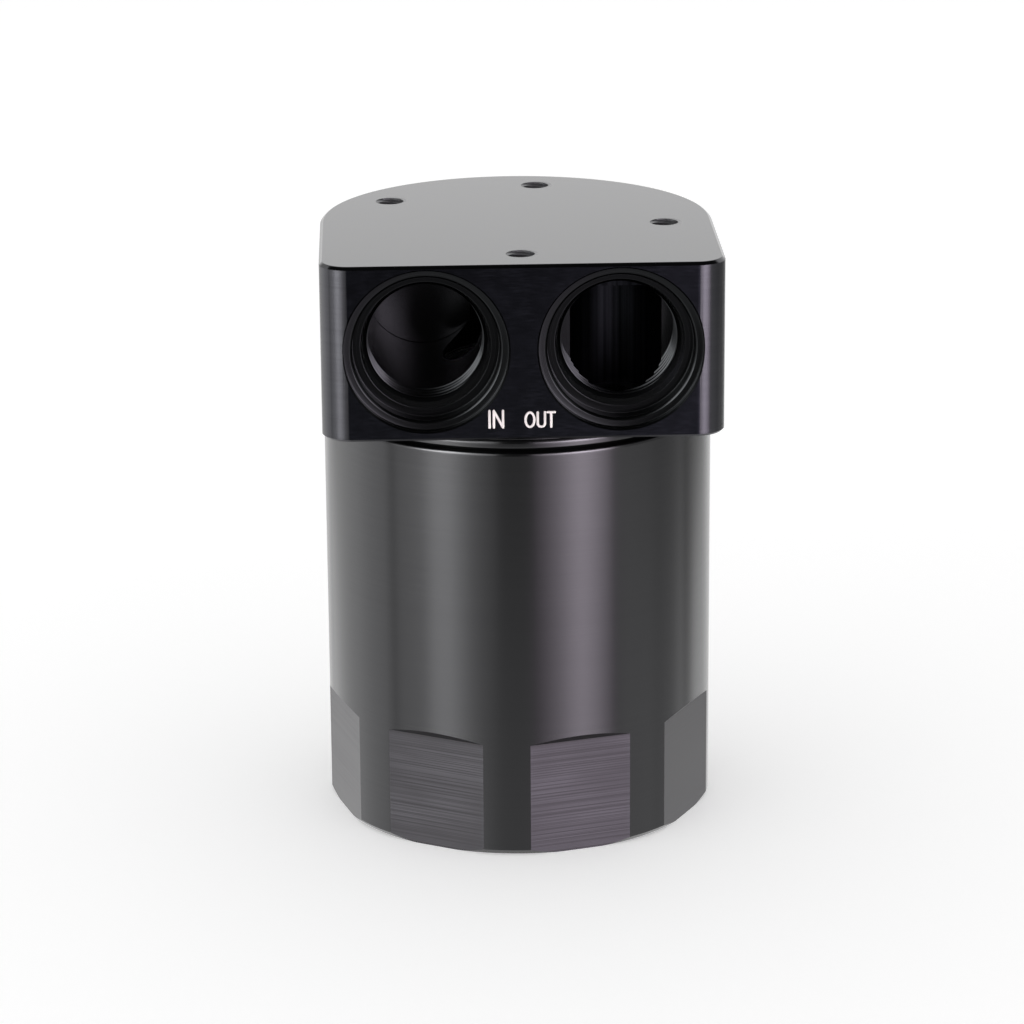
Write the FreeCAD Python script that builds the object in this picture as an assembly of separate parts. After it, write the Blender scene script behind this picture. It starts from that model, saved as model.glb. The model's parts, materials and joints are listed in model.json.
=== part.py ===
import FreeCAD, Part
import math
import os

# Oil catch can for an engine bay, in millimetres.
# The origin is the centre of the underside of the cup, +Z is up and the two ports face -Y.
# A billet head with a threaded neck carries everything. The cup screws up onto the neck
# against one O-ring. Inside, a drop tube takes the inlet gas below a pad of wire mesh,
# which two perforated plates hold on three pillars under the head.

Vector = FreeCAD.Vector

# Cup: turned from bar, with flats for a strap or spanner at its foot
cup_radius = 38.1
cup_height = 81.4
cup_wall = 4.1
cup_floor = 5.0
cup_inner_fillet = 4.0
base_chamfer = 1.1
rim_chamfer = 0.5
flat_count = 8
flat_depth = 1.4
flat_top = 22.7
flat_first_angle = -73.3
flat_runout_angle = 45.0

# Screwed joint between the cup and the head
thread_pitch = 2.0
thread_turns = 5.25
thread_wall = 3.2
thread_clearance = 0.3
thread_runout = 0.8
gland_wall = 1.6
neck_relief = 0.5
neck_lead_chamfer = 0.8
neck_wall = 4.1
seal_clearance = 0.2
seal_section_sides = 8

# Head: one block with a round back, a flat front and a turned collar under it
shoulder_overlap = 0.5
shoulder_height = 1.1
collar_inset = 0.1
collar_height = 1.75
front_corner_radius = 5.0
top_edge_chamfer = 0.6
bottom_edge_chamfer = 0.45
roof_thickness = 6.0

# Ports: O-ring boss ports for a 7/8 inch, 14 threads to the inch fitting.
# The thread itself is drawn as a plain wall at its major diameter.
land_under_port = 1.75
land_over_port = 1.0
land_between_ports = 5.6
port_edge_break = 0.35
spotface_radius = 15.5
spotface_depth = 1.8
counterbore_radius = 13.85
counterbore_depth = 5.1
cone_mouth_radius = 12.3
cone_length = 2.54
cone_angle = 12.0
port_thread_radius = 11.11
port_thread_length = 7.2
inlet_bore_radius = 11.3
inlet_bore_past_middle = 11.6

# Passages inside the head
chamber_rise = 4.6
central_bore_radius = 14.6
tube_seat_depth = 3.6
pocket_radius = 8.8
pocket_depth_from_face = 19.1
pocket_floor_land = 3.0
pocket_roof_drop = 3.6
outlet_hole_radius = 5.5

# Four tapped mounting holes in the top
mount_hole_radius = 3.0
mount_hole_depth = 10.0
mount_hole_chamfer = 0.2
mount_hole_edge_distance = 8.9
mount_hole_angles = (-90.0, -10.0, 80.0, 146.0)

# Drop tube
tube_radius = 16.0
tube_wall = 1.5
tube_fit = 0.02
tube_below_stack = 5.5

# Separator: two plates with a mesh pad between them
plate_cup_clearance = 0.8
plate_thickness = 1.5
plate_tube_clearance = 0.25
pad_thickness = 12.0
pad_inset = 0.3
plate_land = 1.6
perforation_across_flats = 4.5
inner_row_count = 12
outer_row_count = 24

# Pillars, spacers, washers and screws that carry the separator
pillar_count = 3
pillar_first_angle = 15.0
pillar_length = 21.5
pillar_across_flats = 7.0
pillar_chamfer = 0.4
screw_radius = 2.0
screw_fit = 0.05
screw_hole_clearance = 0.2
stud_length = 5.5
stud_hole_spare = 0.5
screw_engagement = 6.0
screw_hole_spare = 1.5
spacer_radius = 3.5
spacer_pad_clearance = 0.1
washer_radius = 4.0
washer_thickness = 0.8
screw_head_radius = 3.8
screw_head_height = 2.2
screw_head_round = 0.9
screw_socket_across_flats = 2.5
screw_socket_depth = 1.2

# Sizes that follow from the ones above
cup_bore_radius = cup_radius - cup_wall
cup_thread_radius = cup_radius - thread_wall
gland_radius = cup_radius - gland_wall
neck_radius = cup_thread_radius - thread_clearance
gland_depth = gland_radius - neck_radius
neck_relief_radius = neck_radius - neck_relief
neck_inner_radius = neck_radius - neck_wall
chamber_middle_radius = (tube_radius + neck_inner_radius) / 2
thread_length = thread_pitch * thread_turns
neck_bottom = cup_height - gland_depth - thread_length
shoulder_radius = gland_radius + shoulder_overlap
shoulder_top = cup_height + shoulder_height
block_bottom = shoulder_top + collar_height
port_z = block_bottom + land_under_port + spotface_radius
port_x = land_between_ports / 2 + spotface_radius
block_top = port_z + spotface_radius + land_over_port
chamber_top = cup_height + chamber_rise
tube_top = chamber_top + tube_seat_depth
central_bore_top = block_top - roof_thickness
face_y = -cup_radius
pocket_y = face_y + pocket_depth_from_face
inlet_bore_depth = inlet_bore_past_middle - face_y
mount_circle_radius = cup_radius - mount_hole_edge_distance
cone_end_depth = counterbore_depth + cone_length
cone_end_radius = cone_mouth_radius - cone_length * math.tan(math.radians(cone_angle))
port_thread_start = cone_end_depth + cone_end_radius - port_thread_radius
port_thread_end = port_thread_start + port_thread_length
plate_radius = cup_bore_radius - plate_cup_clearance
plate_bore_radius = tube_radius + plate_tube_clearance
perforation_corner = perforation_across_flats / math.sqrt(3)
inner_row_radius = plate_bore_radius + plate_land + perforation_corner
outer_row_radius = plate_radius - plate_land - perforation_corner
upper_plate_top = chamber_top - pillar_length
pad_top = upper_plate_top - plate_thickness
pad_bottom = pad_top - pad_thickness
stack_bottom = pad_bottom - plate_thickness
tube_bottom = stack_bottom - tube_below_stack
screw_top = upper_plate_top + screw_engagement
washer_bottom = stack_bottom - washer_thickness
screw_hole_radius = screw_radius + screw_hole_clearance

# Overshoot of a cutting tool past the face that it leaves through
overshoot = 2.0


def polar(radius, degrees, z=0.0):
    """Point at a radius and an angle from +X about the main axis."""
    turn = math.radians(degrees)
    return Vector(radius * math.cos(turn), radius * math.sin(turn), z)


def turned(points):
    """Solid of revolution about Z from (radius, height) corners."""
    corners = [Vector(radius, 0, height) for radius, height in points]
    face = Part.Face(Part.makePolygon(corners + corners[:1]))
    return face.revolve(Vector(0, 0, 0), Vector(0, 0, 1), 360)


def tube(outer, inner, bottom, top):
    """Plain ring between two heights."""
    return turned([(inner, bottom), (outer, bottom), (outer, top), (inner, top)])


def hexagon(across_flats, bottom, top):
    """Upright hexagonal prism on the main axis."""
    corner = across_flats / math.sqrt(3)
    corners = [polar(corner, 60 * side, bottom) for side in range(7)]
    return Part.Face(Part.makePolygon(corners)).extrude(Vector(0, 0, top - bottom))


def cylinder(radius, bottom, top, centre=Vector(0, 0, 0)):
    """Upright cylinder between two heights."""
    return Part.makeCylinder(radius, top - bottom, Vector(centre.x, centre.y, bottom))


def moved(shape, place):
    """Copy of a shape, shifted to a place."""
    copy = shape.copy()
    copy.translate(place)
    return copy


def cup_blank():
    """Turned cup: stepped mouth for gland and thread, rounded inside corner."""
    thread_end = neck_bottom - thread_runout
    fillet_turn = cup_inner_fillet * (1 - math.sqrt(0.5))
    outer = [
        (0, cup_floor),
        (0, 0),
        (cup_radius - base_chamfer, 0),
        (cup_radius, base_chamfer),
        (cup_radius, cup_height - rim_chamfer),
        (cup_radius - rim_chamfer, cup_height),
        (gland_radius, cup_height),
        (gland_radius, cup_height - gland_depth),
        (cup_thread_radius, cup_height - gland_depth),
        (cup_thread_radius, thread_end),
        (cup_bore_radius, thread_end),
        (cup_bore_radius, cup_floor + cup_inner_fillet),
    ]
    corners = [Vector(radius, 0, height) for radius, height in outer]
    fillet_middle = Vector(cup_bore_radius - fillet_turn, 0, cup_floor + fillet_turn)
    fillet_end = Vector(cup_bore_radius - cup_inner_fillet, 0, cup_floor)
    fillet = Part.Arc(corners[-1], fillet_middle, fillet_end).toShape()
    floor_line = Part.makeLine(fillet_end, corners[0])
    wall = Part.makePolygon(corners)
    profile = Part.Wire(wall.Edges + [fillet, floor_line])
    return Part.Face(profile).revolve(Vector(0, 0, 0), Vector(0, 0, 1), 360)


def flat_cutter():
    """Tool for one flat on the +X side, with a sloping run-out at its top."""
    plane = cup_radius - flat_depth
    far = flat_depth + overshoot
    rise = far / math.tan(math.radians(flat_runout_angle))
    corners = [
        Vector(plane, -cup_radius / 2, -overshoot),
        Vector(plane, -cup_radius / 2, flat_top),
        Vector(plane + far, -cup_radius / 2, flat_top + rise),
        Vector(plane + far, -cup_radius / 2, -overshoot),
    ]
    face = Part.Face(Part.makePolygon(corners + corners[:1]))
    return face.extrude(Vector(0, cup_radius, 0))


def make_cup():
    """Cup with its ring of flats."""
    cup = cup_blank()
    tool = flat_cutter()
    for step in range(flat_count):
        cutter = tool.copy()
        angle = flat_first_angle + step * 360 / flat_count
        cutter.rotate(Vector(0, 0, 0), Vector(0, 0, 1), angle)
        cup = cup.cut(cutter)
    return cup


def make_seal():
    """O-ring in the cup's square gland, clear of the neck's thread. Its round section has flat sides."""
    section = gland_depth / 2 - seal_clearance
    middle = (gland_radius + neck_radius) / 2
    height = cup_height - gland_depth / 2
    corners = []
    for side in range(seal_section_sides):
        turn = 2 * math.pi * side / seal_section_sides
        corners.append((middle + section * math.cos(turn), height + section * math.sin(turn)))
    return turned(corners)


def block():
    """Head block: flat front, rounded front corners, round back, broken edges."""
    radius = cup_radius
    inset = radius - front_corner_radius
    turn = front_corner_radius * math.sqrt(0.5)
    right_arc = Part.Arc(
        Vector(inset, face_y, block_bottom),
        Vector(inset + turn, -inset - turn, block_bottom),
        Vector(radius, -inset, block_bottom),
    )
    back_arc = Part.Arc(
        Vector(radius, 0, block_bottom),
        Vector(0, radius, block_bottom),
        Vector(-radius, 0, block_bottom),
    )
    left_arc = Part.Arc(
        Vector(-radius, -inset, block_bottom),
        Vector(-inset - turn, -inset - turn, block_bottom),
        Vector(-inset, face_y, block_bottom),
    )
    front = Part.makeLine(left_arc.EndPoint, right_arc.StartPoint)
    right = Part.makeLine(right_arc.EndPoint, back_arc.StartPoint)
    left = Part.makeLine(back_arc.EndPoint, left_arc.StartPoint)
    edges = [front, right_arc.toShape(), right, back_arc.toShape(), left, left_arc.toShape()]
    plan = Part.Face(Part.Wire(edges))
    body = plan.extrude(Vector(0, 0, block_top - block_bottom))
    body = chamfer_level(body, block_top, top_edge_chamfer)
    return chamfer_level(body, block_bottom, bottom_edge_chamfer)


def chamfer_level(body, level, size):
    """Chamfer every edge that lies flat at one height."""
    rim = []
    for edge in body.Edges:
        box = edge.BoundBox
        if abs(box.ZMin - level) < 1e-6 and abs(box.ZMax - level) < 1e-6:
            rim.append(edge)
    return body.makeChamfer(size, rim)


def neck():
    """Turned collar, shoulder and threaded neck under the block, not yet hollow."""
    collar_radius = cup_radius - collar_inset
    root = block_bottom + bottom_edge_chamfer
    relief_bottom = cup_height - gland_depth
    return turned([
        (0, root),
        (0, neck_bottom),
        (neck_radius - neck_lead_chamfer, neck_bottom),
        (neck_radius, neck_bottom + neck_lead_chamfer),
        (neck_radius, relief_bottom),
        (neck_relief_radius, relief_bottom),
        (neck_relief_radius, cup_height),
        (shoulder_radius, cup_height),
        (shoulder_radius, shoulder_top),
        (collar_radius, shoulder_top),
        (collar_radius, root),
    ])


def port_tool(depths):
    """Turned cutter for one port, its axis along +Y from the front face at x = 0."""
    tool = turned(depths)
    tool.rotate(Vector(0, 0, 0), Vector(1, 0, 0), -90)
    return moved(tool, Vector(0, face_y, port_z))


def port_mouth():
    """Corners (radius, depth) that both ports share, from the axis to the thread wall."""
    lip = spotface_radius + port_edge_break
    return [
        (0, -overshoot),
        (lip, -overshoot),
        (lip, 0),
        (spotface_radius, port_edge_break),
        (spotface_radius, spotface_depth),
        (counterbore_radius, spotface_depth),
        (counterbore_radius, counterbore_depth),
        (cone_mouth_radius, counterbore_depth),
        (cone_end_radius, cone_end_depth),
        (port_thread_radius, port_thread_start),
    ]


def inlet_tool():
    """Inlet port: threaded mouth, then a long plain bore past the central chamber."""
    depths = port_mouth() + [
        (port_thread_radius, port_thread_end),
        (inlet_bore_radius, port_thread_end),
        (inlet_bore_radius, inlet_bore_depth),
        (0, inlet_bore_depth),
    ]
    return moved(port_tool(depths), Vector(-port_x, 0, 0))


def outlet_tool():
    """Outlet port: threaded mouth that ends half way into an upright pocket."""
    depths = port_mouth() + [
        (port_thread_radius, pocket_depth_from_face),
        (0, pocket_depth_from_face),
    ]
    mouth = moved(port_tool(depths), Vector(port_x, 0, 0))
    pocket_floor = port_z - port_thread_radius - pocket_floor_land
    pocket_roof = port_z + port_thread_radius - pocket_roof_drop
    pocket_place = Vector(port_x, pocket_y, 0)
    pocket = cylinder(pocket_radius, pocket_floor, pocket_roof, pocket_place)
    hole_angle = math.degrees(math.atan2(pocket_y, port_x))
    hole_place = polar(chamber_middle_radius, hole_angle)
    hole = cylinder(outlet_hole_radius, chamber_top - overshoot, port_z, hole_place)
    return mouth.fuse(pocket).fuse(hole)


def chamber_tool():
    """Open inside of the neck, the drop tube's seat and the central chamber above it."""
    return turned([
        (0, neck_bottom - overshoot),
        (neck_inner_radius, neck_bottom - overshoot),
        (neck_inner_radius, chamber_top),
        (tube_radius + tube_fit, chamber_top),
        (tube_radius + tube_fit, tube_top),
        (central_bore_radius, tube_top),
        (central_bore_radius, central_bore_top),
        (0, central_bore_top),
    ])


def mount_hole_tools():
    """Cutters for the tapped holes in the top."""
    bottom = block_top - mount_hole_depth
    mouth = mount_hole_radius + mount_hole_chamfer
    tool = turned([
        (0, bottom),
        (mount_hole_radius, bottom),
        (mount_hole_radius, block_top - mount_hole_chamfer),
        (mouth, block_top),
        (mouth, block_top + overshoot),
        (0, block_top + overshoot),
    ])
    return [moved(tool, polar(mount_circle_radius, angle)) for angle in mount_hole_angles]


def pillar_places():
    """Plan positions of the pillars and of all that is in line with them."""
    step = 360 / pillar_count
    angles = [pillar_first_angle + step * index for index in range(pillar_count)]
    return [polar(chamber_middle_radius, angle) for angle in angles]


def pillar_hole_tools():
    """Cutters for the tapped holes that take the pillars' studs."""
    top = chamber_top + stud_length + stud_hole_spare
    return [
        cylinder(screw_radius, chamber_top - overshoot, top, place)
        for place in pillar_places()
    ]


def make_head():
    """Head: block and neck in one piece, with every port and passage cut in it."""
    head = block().fuse(neck()).removeSplitter()
    for tool in [chamber_tool(), inlet_tool(), outlet_tool()]:
        head = head.cut(tool)
    for tool in mount_hole_tools() + pillar_hole_tools():
        head = head.cut(tool)
    return head


def make_drop_tube():
    """Tube that takes the inlet gas down through the separator."""
    return tube(tube_radius, tube_radius - tube_wall, tube_bottom, tube_top)


def perforated_plate(bottom):
    """Round plate with two rows of hexagonal holes, a centre hole and its screw holes."""
    top = bottom + plate_thickness
    plate = tube(plate_radius, plate_bore_radius, bottom, top)
    rows = [(inner_row_radius, inner_row_count), (outer_row_radius, outer_row_count)]
    tools = [
        cylinder(screw_hole_radius, bottom - overshoot, top + overshoot, place)
        for place in pillar_places()
    ]
    punch = hexagon(perforation_across_flats, bottom - overshoot, top + overshoot)
    for row_radius, count in rows:
        for index in range(count):
            angle = pillar_first_angle + (index + 0.5) * 360 / count
            hole = moved(punch, Vector(row_radius, 0, 0))
            hole.rotate(Vector(0, 0, 0), Vector(0, 0, 1), angle)
            tools.append(hole)
    return plate.cut(tools)


def make_mesh_pad():
    """Outer form of the knitted wire pad, with room for the spacers."""
    pad = tube(plate_radius - pad_inset, plate_bore_radius, pad_bottom, pad_top)
    radius = spacer_radius + spacer_pad_clearance
    holes = [
        cylinder(radius, pad_bottom - overshoot, pad_top + overshoot, place)
        for place in pillar_places()
    ]
    return pad.cut(holes)


def make_pillar():
    """Hexagonal pillar with a stud on top and a tapped hole in its foot."""
    corner = pillar_across_flats / math.sqrt(3)
    crown = turned([
        (0, upper_plate_top),
        (corner - pillar_chamfer, upper_plate_top),
        (corner, upper_plate_top + pillar_chamfer),
        (corner, chamber_top - pillar_chamfer),
        (corner - pillar_chamfer, chamber_top),
        (0, chamber_top),
    ])
    body = hexagon(pillar_across_flats, upper_plate_top, chamber_top).common(crown)
    stud_radius = screw_radius - screw_fit
    stud = cylinder(stud_radius, chamber_top - overshoot, chamber_top + stud_length)
    hole_top = screw_top + screw_hole_spare
    hole = cylinder(screw_radius, upper_plate_top - overshoot, hole_top)
    return body.fuse(stud).removeSplitter().cut(hole)


def make_spacer():
    """Sleeve that keeps the two plates apart."""
    return tube(spacer_radius, screw_hole_radius, pad_bottom, pad_top)


def make_washer():
    """Plain washer under a screw head."""
    return tube(washer_radius, screw_hole_radius, washer_bottom, stack_bottom)


def make_screw():
    """Button-head screw with a hexagon socket, its head down."""
    head_bottom = washer_bottom - screw_head_height
    shank_radius = screw_radius - screw_fit
    body = turned([
        (0, head_bottom),
        (screw_head_radius - screw_head_round, head_bottom),
        (screw_head_radius, head_bottom + screw_head_round),
        (screw_head_radius, washer_bottom),
        (shank_radius, washer_bottom),
        (shank_radius, screw_top),
        (0, screw_top),
    ])
    socket_top = head_bottom + screw_socket_depth
    socket = hexagon(screw_socket_across_flats, head_bottom - overshoot, socket_top)
    return body.cut(socket)


def export(name, shape):
    """Write one piece and report its volume."""
    shape.exportStep("parts/" + name + ".step")
    print(name, "solids", len(shape.Solids), "volume", round(shape.Volume, 1))


os.makedirs("parts", exist_ok=True)
export("head", make_head())
export("cup", make_cup())
export("cup_seal", make_seal())
export("drop_tube", make_drop_tube())
export("upper_plate", perforated_plate(pad_top))
export("lower_plate", perforated_plate(stack_bottom))
export("mesh_pad", make_mesh_pad())
hardware = {
    "pillar": make_pillar(),
    "spacer": make_spacer(),
    "washer": make_washer(),
    "screw": make_screw(),
}
for number, place in enumerate(pillar_places(), start=1):
    for name, shape in hardware.items():
        export(name + "_" + str(number), moved(shape, place))
print("overall height", round(block_top, 2))
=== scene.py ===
# %% [markdown]
# An oil catch can for an engine bay, shown as it leaves the machine shop. The imported parts
# give every size and place. This lesson rebuilds the pieces whose surface is looked at, cuts
# their threads, and gives each piece the finish of the real one, with painted shade on the
# front and in the port mouths and the pocket, and painted light on the seats and tapped threads.
# The first cell loads the parts and notes the box that they fill. The loader leaves them all
# selected, so they are deselected before anything else happens.

# %% Load the imported parts
import bmesh
import bpy
import json
import math
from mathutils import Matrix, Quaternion, Vector


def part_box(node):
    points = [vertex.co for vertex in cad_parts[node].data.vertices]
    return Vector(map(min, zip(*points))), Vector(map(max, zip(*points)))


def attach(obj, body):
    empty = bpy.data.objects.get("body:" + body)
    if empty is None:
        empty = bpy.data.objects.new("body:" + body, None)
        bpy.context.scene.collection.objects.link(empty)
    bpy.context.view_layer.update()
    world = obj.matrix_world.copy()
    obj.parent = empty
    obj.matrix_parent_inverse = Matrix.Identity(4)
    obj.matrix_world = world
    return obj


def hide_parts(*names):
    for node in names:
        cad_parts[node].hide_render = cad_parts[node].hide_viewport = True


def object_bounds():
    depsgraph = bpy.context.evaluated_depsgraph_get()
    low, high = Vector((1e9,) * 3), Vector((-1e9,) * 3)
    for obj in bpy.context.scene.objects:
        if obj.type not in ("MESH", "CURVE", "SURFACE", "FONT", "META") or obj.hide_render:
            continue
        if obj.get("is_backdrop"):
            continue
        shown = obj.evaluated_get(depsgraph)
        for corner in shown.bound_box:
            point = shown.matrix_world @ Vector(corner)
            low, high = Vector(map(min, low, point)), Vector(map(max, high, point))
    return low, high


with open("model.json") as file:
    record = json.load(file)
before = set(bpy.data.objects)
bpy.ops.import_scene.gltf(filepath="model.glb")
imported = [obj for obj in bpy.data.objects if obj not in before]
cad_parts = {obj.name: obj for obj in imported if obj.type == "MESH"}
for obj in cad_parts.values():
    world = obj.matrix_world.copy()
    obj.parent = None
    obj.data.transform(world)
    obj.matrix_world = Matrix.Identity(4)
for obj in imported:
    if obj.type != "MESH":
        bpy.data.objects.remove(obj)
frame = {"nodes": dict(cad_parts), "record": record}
cad_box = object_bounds()
bpy.ops.object.select_all(action="DESELECT")

# %% [markdown]
# Sizes first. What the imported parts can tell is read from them: the radius, the heights, and
# the ports and tapped holes, which the record lists as mounts. The box of a part is its lowest
# and its highest corner. No box shows the steps inside a hole, so those are written in
# millimetres in the cells that cut them.

# %% Sizes
MM = 0.001
head_low, head_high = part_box("head")
cup_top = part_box("cup")[1].z
mounts = {mount["name"]: mount for mount in frame["record"]["mounts"]}
inlet = Vector(mounts["in_port"]["pos_m"])
outlet = Vector(mounts["out_port"]["pos_m"])
port_thread_radius = mounts["in_port"]["dims"]["r_mm"] * MM
tapped_holes = [Vector(m["pos_m"]) for n, m in mounts.items() if n.startswith("top_hole")]
tapped_radius = mounts["top_hole_front"]["dims"]["r_mm"] * MM

radius = head_high.x
block_top = head_high.z
neck_bottom = head_low.z
face_y = -radius
seal_low, seal_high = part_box("cup_seal")
tube_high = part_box("drop_tube")[1]
print("radius mm", round(radius / MM, 2), "cup top mm", round(cup_top / MM, 2))
print("block top mm", round(block_top / MM, 2), "neck bottom mm", round(neck_bottom / MM, 2))

# %% [markdown]
# Every piece here is turned, bored or milled from bar, so most shapes are solids of revolution.
# A lathe would do it in one pass, and so does this helper: it adds a circle, then extrudes and
# scales it from corner to corner of the outline, as a tool would travel. The circle is filled
# first, which gives the solid a flat cap at each end. The Spin operator needs a profile drawn
# first, and leaves a seam at its start, so the extruded circle is the simpler way.
# Pieces are joined and cut by a Boolean modifier. Where two cuts meet, it can leave slits as thin
# as a hair, so its helper fills any hole of up to four sides.

# %% Helpers that turn, place and cut
SIDES = 256
MERGE = 0.001 * MM
SLIT_SIDES = 4
ALONG_Y = (-90, 0, 0)


def select_only(piece):
    """Make one object the active and only selected one."""
    bpy.ops.object.select_all(action="DESELECT")
    piece.select_set(True)
    bpy.context.view_layer.objects.active = piece


def turned(name, outline, sides=SIDES):
    """Solid of revolution about Z from (radius, height) corners."""
    start = outline[0]
    bpy.ops.mesh.primitive_circle_add(vertices=sides, radius=start[0], location=(0, 0, start[1]))
    piece = bpy.context.object
    piece.name = name
    bpy.ops.object.transform_apply(location=True)
    bpy.ops.object.mode_set(mode="EDIT")
    bpy.ops.mesh.select_all(action="SELECT")
    bpy.ops.mesh.edge_face_add()
    bpy.ops.mesh.select_all(action="SELECT")
    for before, after in zip(outline, outline[1:]):
        step = (0, 0, after[1] - before[1])
        bpy.ops.mesh.extrude_region_move(TRANSFORM_OT_translate={"value": step})
        scale = after[0] / before[0]
        bpy.ops.transform.resize(value=(scale, scale, 1), center_override=(0, 0, after[1]))
    bpy.ops.mesh.select_all(action="SELECT")
    bpy.ops.mesh.remove_doubles(threshold=MERGE)
    bpy.ops.mesh.normals_make_consistent(inside=False)
    bpy.ops.object.mode_set(mode="OBJECT")
    return piece


def placed(piece, move=(0, 0, 0), turn=(0, 0, 0)):
    """Turn a piece by degrees, then move it, and write both into its mesh."""
    select_only(piece)
    piece.rotation_euler = [math.radians(angle) for angle in turn]
    piece.location = move
    bpy.ops.object.transform_apply(location=True, rotation=True, scale=True)
    return piece


def combined(piece, other, operation, overlaps=False):
    """Join or cut one closed solid with another, whose own shells may overlap."""
    select_only(piece)
    bpy.ops.object.modifier_add(type="BOOLEAN")
    tool = piece.modifiers[-1]
    tool.operation = operation
    tool.solver = "EXACT"
    tool.use_self = overlaps
    tool.object = other
    bpy.ops.object.modifier_apply(modifier=tool.name)
    bpy.data.objects.remove(other)
    bpy.ops.object.mode_set(mode="EDIT")
    bpy.ops.mesh.select_mode(type="EDGE")
    bpy.ops.mesh.select_all(action="DESELECT")
    bpy.ops.mesh.select_non_manifold()
    bpy.ops.mesh.fill_holes(sides=SLIT_SIDES)
    bpy.ops.object.mode_set(mode="OBJECT")
    return piece


def open_edges(piece):
    """Count the edges that don't join exactly two faces; a closed solid has none."""
    mesh = bmesh.new()
    mesh.from_mesh(piece.data)
    count = sum(1 for edge in mesh.edges if not edge.is_manifold)
    mesh.free()
    return count


def measured(piece):
    """Say how large a piece is and whether it is closed, and return it."""
    size = [round(length / MM, 2) for length in piece.dimensions]
    faces = len(piece.data.polygons)
    print(piece.name, "size mm", size, "faces", faces, "open edges", open_edges(piece))
    return piece


# %% [markdown]
# No machined edge is a perfect knife: the tool leaves a tiny flat or round, and that is what
# catches the light. The next helper eases every corner of an outline before it is turned, so
# the easing runs all round for free. It never takes more than its share of a short step, and
# its middle bulges part of the way to the old corner. A Bevel modifier could do it afterwards,
# but it clamps at the short edges that crossing bores leave.
# The shade-smooth step then splits the shading at real edges, and Weighted Normal keeps wide
# faces flat beside narrow eased ones.
# Each face also carries a number that says how it was machined, so that it can get the right
# finish later, and two helpers pick and number the faces that pass a test.

# %% Helpers for edges and shading
EASE = 0.12 * MM
EASE_STEPS = 3
LONGEST_SHARE = 0.4
FULLNESS = 0.4
SMOOTH_BELOW = 30
CLOSE = 0.01 * MM


def between(first, second, share):
    """Point part of the way from one (radius, height) corner to another."""
    return tuple(a + (b - a) * share for a, b in zip(first, second))


def eased(outline):
    """Outline with each corner between its ends cut by a small round of two flats."""
    result = [outline[0]]
    for before, corner, after in zip(outline, outline[1:], outline[2:]):
        reach_in = min(EASE, LONGEST_SHARE * math.dist(before, corner))
        reach_out = min(EASE, LONGEST_SHARE * math.dist(corner, after))
        start = between(corner, before, reach_in / math.dist(before, corner))
        end = between(corner, after, reach_out / math.dist(corner, after))
        middle = between(between(start, end, 0.5), corner, FULLNESS)
        result += [start, middle, end]
    return result + [outline[-1]]


def finished(piece, angle=SMOOTH_BELOW):
    """Smooth shading that stops at edges sharper than the angle, and flat wide faces."""
    select_only(piece)
    bpy.ops.object.shade_smooth_by_angle(angle=math.radians(angle))
    bpy.ops.object.modifier_add(type="WEIGHTED_NORMAL")
    piece.modifiers[-1].keep_sharp = True
    bpy.ops.object.modifier_apply(modifier=piece.modifiers[-1].name)
    return measured(piece)


def pick(piece, kind, wanted):
    """In edit mode, select only the vertices, edges or faces that pass a test."""
    bpy.ops.mesh.select_mode(type=kind)
    bpy.ops.mesh.select_all(action="DESELECT")
    mesh = bmesh.from_edit_mesh(piece.data)
    parts = {"VERT": mesh.verts, "EDGE": mesh.edges, "FACE": mesh.faces}[kind]
    for part in parts:
        if wanted(part):
            part.select_set(True)
    bmesh.update_edit_mesh(piece.data)


def painted(piece, index, wanted=None):
    """Give the faces that pass a test, or all of them, one material slot's number."""
    for face in piece.data.polygons:
        if wanted is None or wanted(face):
            face.material_index = index
    return piece


def near(value, target):
    """True where a coordinate lies on a target, within a hundredth of a millimetre."""
    return abs(value - target) < CLOSE


# %% [markdown]
# The head's block is round at the back and square at the front. As by hand, it starts as a
# cylinder: the front half is cut away through the axis, and the cut face is pulled forward to
# the flat front. Then the two upright corners are rounded and the rims are broken with bevels.

# %% Model the head's block
CORNER_RADIUS = 5.6 * MM
CORNER_STEPS = 18
TOP_CHAMFER = 0.6 * MM
BOTTOM_CHAMFER = 0.45 * MM
COLLAR_TOP = cup_top + 2.85 * MM
WALL_NORMAL = 0.5
TOP_NORMAL = 0.6
FRONT_NORMAL = -0.999
(SIDE_FACE, TOP_FACE, BORED, TURNED, ENGRAVED, FRONT_FACE,
 PORT_FACE, POCKET_FACE, TAPPED_FACE, SEAT_FACE) = range(10)


def flat_at(edge, height):
    """True for an edge that lies at one height."""
    return all(near(vertex.co.z, height) for vertex in edge.verts)


def rim_edge(edge, height):
    """True for an edge between a level face at that height and a wall."""
    walls = [face for face in edge.link_faces if abs(face.normal.z) < WALL_NORMAL]
    return flat_at(edge, height) and len(walls) == 1


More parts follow.
